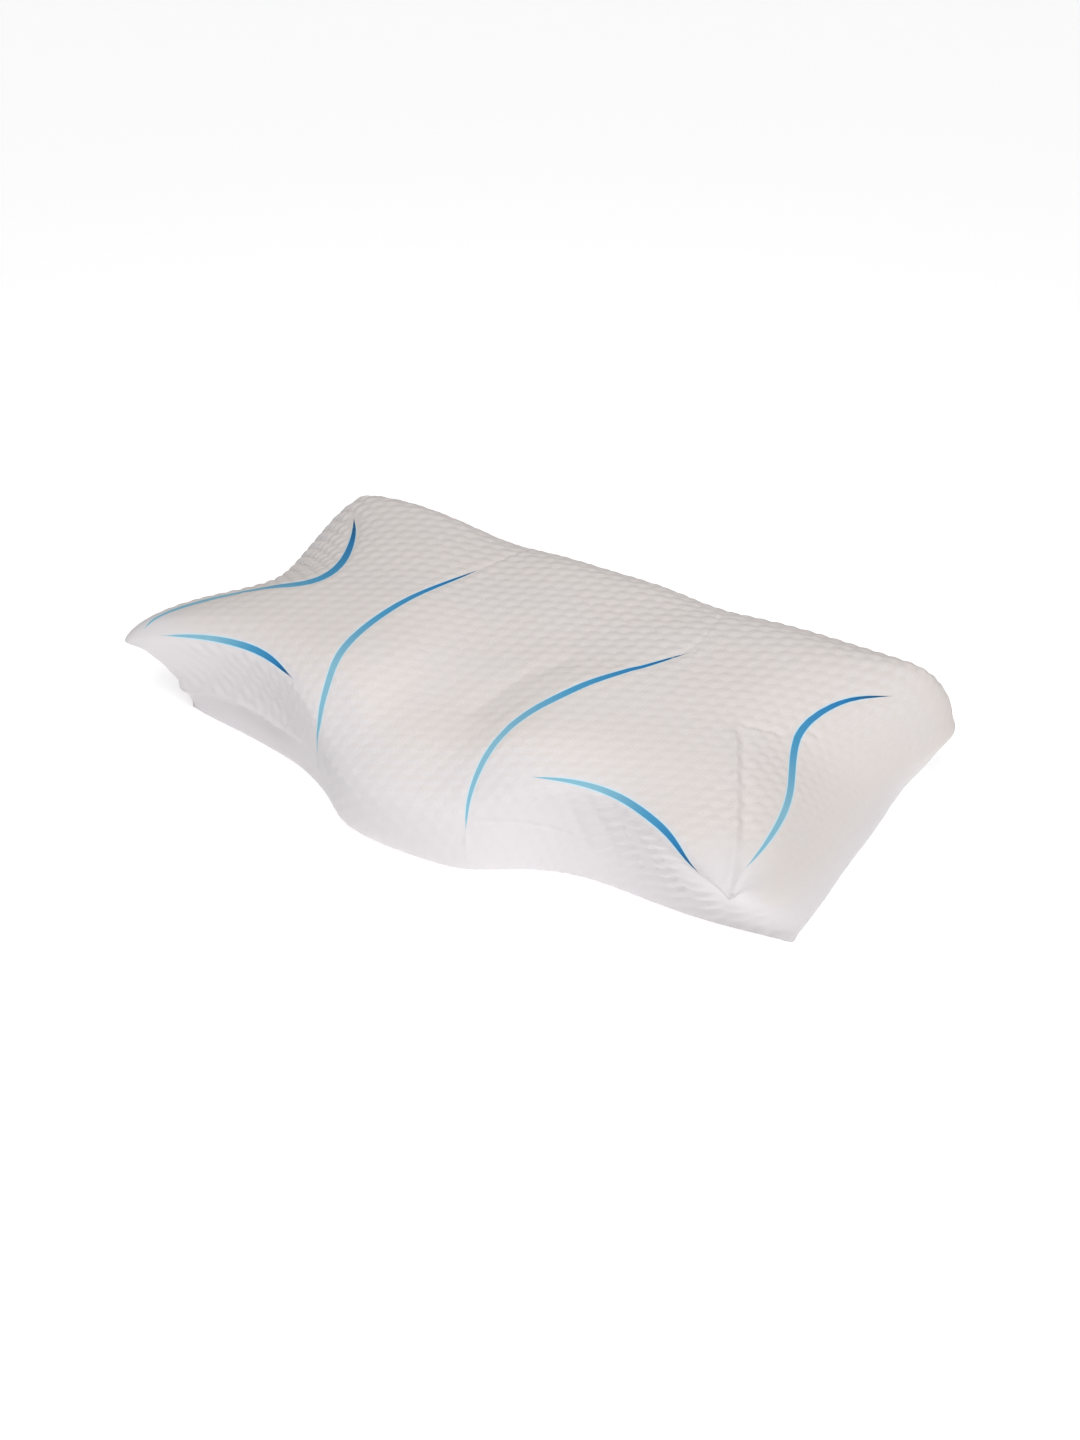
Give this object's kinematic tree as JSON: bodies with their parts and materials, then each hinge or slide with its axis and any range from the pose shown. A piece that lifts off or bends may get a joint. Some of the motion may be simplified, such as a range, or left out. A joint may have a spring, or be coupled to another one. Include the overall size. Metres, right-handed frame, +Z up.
{
  "type": "contour pillow",
  "caption": "Butterfly-shaped contour pillow of memory foam in a knitted cover, with a low neck roll between raised wings, drawn-in ends and a high back edge.",
  "frame": {"origin": "middle of the bounding box in plan, on the surface that the pillow lies on", "axes": "+Z up, +X along the pillow's width, +Y from the neck roll to the high back edge"},
  "size_m": [0.5312, 0.3042, 0.0911],
  "materials": {
    "cover": "white knitted cover with a raised bubble pattern"
  },
  "bodies": {
    "root": {"pillow": "cover"}
  },
  "joints": []
}
